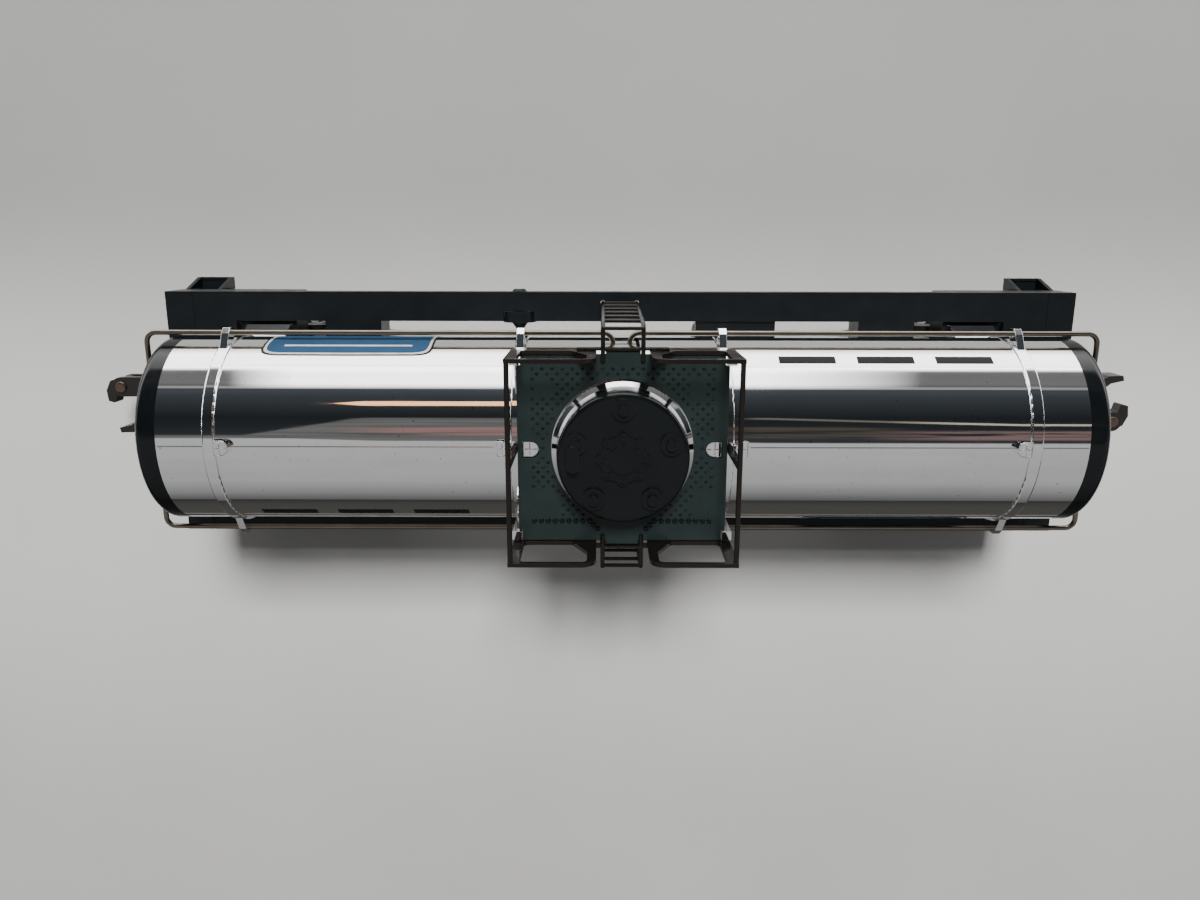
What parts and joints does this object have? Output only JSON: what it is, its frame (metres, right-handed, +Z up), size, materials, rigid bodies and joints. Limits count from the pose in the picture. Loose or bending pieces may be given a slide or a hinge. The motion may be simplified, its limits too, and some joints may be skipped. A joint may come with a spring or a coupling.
{
  "type": "model tank wagon",
  "caption": "Model railway tank wagon with a chrome barrel, black end caps and frame, dome platform with railings and ladders, swivelling trucks and knuckle couplers.",
  "frame": {"origin": "bottom centre of the bounding box: under the middle of the wagon, at the lowest point of the wheel flanges", "axes": "+X along the wagon, +Y across it, +Z up towards the dome; the longest extent is X and the shortest is Y"},
  "size_m": [0.2898, 0.07, 0.0925],
  "materials": {
    "chrome_tank": "vacuum-plated bright chrome over plastic",
    "black_gloss": "semi-gloss black moulding",
    "platform_black": "semi-gloss black with raised tread",
    "railing_black": "glossy brown-black",
    "ladder_steel": "dark coated rod",
    "handrail_steel": "drawn wire",
    "frame_black": "satin black moulding",
    "ballast_steel": "raw steel",
    "screw_steel": "plated screws and rivets",
    "truck_black": "satin black die casting",
    "spring_steel": "spring wire",
    "axle_steel": "turned steel",
    "wheel_metal": "blackened casting with bright tread",
    "coupler_black": "blackened die casting",
    "rivet_bronze": "aged brass rivet"
  },
  "bodies": {
    "car_body": {"air_reservoir": "frame_black", "ballast_bar": "ballast_steel", "brake_cylinder": "frame_black", "dome_cover": "black_gloss", "end_cap_left": "black_gloss", "end_cap_right": "black_gloss", "handrail_left": "handrail_steel", "handrail_right": "handrail_steel", "kingpin_left": "screw_steel", "kingpin_right": "screw_steel", "ladder_far": "ladder_steel", "ladder_near": "ladder_steel", "platform": "platform_black", "railing_left": "railing_black", "railing_right": "railing_black", "tank_screws": "screw_steel", "tank_shell": "chrome_tank", "underframe": "frame_black"},
    "truck_left": {"armature_pin_left": "rivet_bronze", "coupler_head_left": "coupler_black", "knuckle_pin_left": "rivet_bronze", "truck_bolster_left": "truck_black", "truck_rivets_left": "screw_steel", "truck_side_frame_left_far": "truck_black", "truck_side_frame_left_near": "truck_black", "truck_springs_left": "spring_steel"},
    "knuckle_left": {"coupler_knuckle_left": "coupler_black"},
    "armature_left": {"coupler_armature_left": "coupler_black"},
    "wheelset_left_inner": {"axle_left_inner": "axle_steel", "wheel_left_inner_far": "wheel_metal", "wheel_left_inner_near": "wheel_metal"},
    "wheelset_left_outer": {"axle_left_outer": "axle_steel", "wheel_left_outer_far": "wheel_metal", "wheel_left_outer_near": "wheel_metal"},
    "truck_right": {"armature_pin_right": "rivet_bronze", "coupler_head_right": "coupler_black", "knuckle_pin_right": "rivet_bronze", "truck_bolster_right": "truck_black", "truck_rivets_right": "screw_steel", "truck_side_frame_right_far": "truck_black", "truck_side_frame_right_near": "truck_black", "truck_springs_right": "spring_steel"},
    "knuckle_right": {"coupler_knuckle_right": "coupler_black"},
    "armature_right": {"coupler_armature_right": "coupler_black"},
    "wheelset_right_inner": {"axle_right_inner": "axle_steel", "wheel_right_inner_far": "wheel_metal", "wheel_right_inner_near": "wheel_metal"},
    "wheelset_right_outer": {"axle_right_outer": "axle_steel", "wheel_right_outer_far": "wheel_metal", "wheel_right_outer_near": "wheel_metal"}
  },
  "joints": [
    {"name": "truck_swivel_left", "type": "hinge", "parent": "car_body", "child": "truck_left", "pos_m": [-0.0905, 0, 0.022], "axis": [0, 0, 1], "range_deg": [-12, 12]},
    {"name": "knuckle_open_left", "type": "hinge", "parent": "truck_left", "child": "knuckle_left", "pos_m": [-0.1397, 0.0047, 0.0173], "axis": [0, 0, -1], "range_deg": [0, 48]},
    {"name": "armature_drop_left", "type": "hinge", "parent": "truck_left", "child": "armature_left", "pos_m": [-0.1126, 0, 0.014], "axis": [0, -1, 0], "range_deg": [0, 8]},
    {"name": "wheelset_spin_left_inner", "type": "hinge", "parent": "truck_left", "child": "wheelset_left_inner", "pos_m": [-0.073, 0, 0.0103], "axis": [0, 1, 0], "continuous": true},
    {"name": "wheelset_spin_left_outer", "type": "hinge", "parent": "truck_left", "child": "wheelset_left_outer", "pos_m": [-0.108, 0, 0.0103], "axis": [0, 1, 0], "continuous": true},
    {"name": "truck_swivel_right", "type": "hinge", "parent": "car_body", "child": "truck_right", "pos_m": [0.0905, 0, 0.022], "axis": [0, 0, 1], "range_deg": [-12, 12]},
    {"name": "knuckle_open_right", "type": "hinge", "parent": "truck_right", "child": "knuckle_right", "pos_m": [0.1397, -0.0047, 0.0173], "axis": [0, 0, -1], "range_deg": [0, 48]},
    {"name": "armature_drop_right", "type": "hinge", "parent": "truck_right", "child": "armature_right", "pos_m": [0.1126, 0, 0.014], "axis": [0, 1, 0], "range_deg": [0, 8]},
    {"name": "wheelset_spin_right_inner", "type": "hinge", "parent": "truck_right", "child": "wheelset_right_inner", "pos_m": [0.073, 0, 0.0103], "axis": [0, 1, 0], "continuous": true},
    {"name": "wheelset_spin_right_outer", "type": "hinge", "parent": "truck_right", "child": "wheelset_right_outer", "pos_m": [0.108, 0, 0.0103], "axis": [0, 1, 0], "continuous": true}
  ]
}
